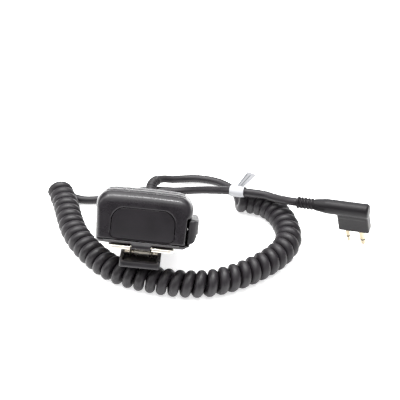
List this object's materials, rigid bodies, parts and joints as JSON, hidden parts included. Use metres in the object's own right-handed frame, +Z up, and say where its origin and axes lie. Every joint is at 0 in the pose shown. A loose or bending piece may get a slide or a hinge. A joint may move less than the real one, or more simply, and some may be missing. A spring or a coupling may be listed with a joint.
{
  "type": "hand microphone",
  "caption": "Radio speaker microphone: ribbed black case, push-to-talk bar, sprung belt clip, curly cord with strain relief and tag, two-pin plug.",
  "frame": {"origin": "on the table under the middle of the microphone's body (case, push-to-talk bar and clip)", "axes": "+Z up, +Y from the head end towards the cord end, +X towards the push-to-talk side"},
  "size_m": [0.1852, 0.1114, 0.0578],
  "materials": {
    "shell": "fine moulded grain, satin on the front",
    "inlay": "fine grain",
    "button": "fine grain",
    "black_plastic": "satin",
    "white_plastic": "satin",
    "nickel": "warm nickel plate",
    "steel": "bright",
    "magnet": "dull",
    "cone": "pressed paper",
    "felt": "thin felt",
    "rubber": "matt",
    "board": "lacquered laminate",
    "capsule": "satin",
    "cord": "satin jacket",
    "paper": "matt paper",
    "plug": "satin",
    "plated_brass": "bright pale gold plate"
  },
  "bodies": {
    "microphone": {"board_connector": "white_plastic", "case_screw_1": "steel", "case_screw_2": "steel", "case_screw_3": "steel", "case_screw_4": "steel", "circuit_board": "board", "clip_pin": "nickel", "clip_plate": "nickel", "clip_screw_1": "steel", "clip_screw_2": "steel", "clip_spring": "steel", "coil_cord": "cord", "cord_lead": "cord", "cord_relief": "rubber", "cord_tag": "paper", "cord_tail": "cord", "dust_felt": "felt", "end_inlay": "inlay", "front_shell": "shell", "inner_cable": "cord", "mic_boot": "rubber", "mic_capsule": "capsule", "pin_large_insulator": "black_plastic", "pin_large_sleeve": "plated_brass", "pin_large_tip": "plated_brass", "pin_small_insulator": "black_plastic", "pin_small_sleeve": "plated_brass", "pin_small_tip": "plated_brass", "plug_body": "plug", "ptt_switch": "black_plastic", "rear_shell": "shell", "speaker_cone": "cone", "speaker_frame": "steel", "speaker_gasket": "rubber", "speaker_magnet": "magnet"},
    "ptt": {"ptt_button": "button", "ptt_plunger": "white_plastic"},
    "lever": {"clip_lever": "black_plastic"}
  },
  "joints": [
    {"name": "ptt_press", "type": "slide", "parent": "microphone", "child": "ptt", "axis": [-0.9945, 0.0427, 0.0954], "range_m": [0, 0.001], "stiffness_N_per_m": 900},
    {"name": "clip_lever", "type": "hinge", "parent": "microphone", "child": "lever", "pos_m": [-0.00398, -0.0218, 0.016], "axis": [-0.9945, 0.0427, 0.0954], "range_deg": [0, 16], "stiffness_Nm_per_rad": 0.6}
  ]
}
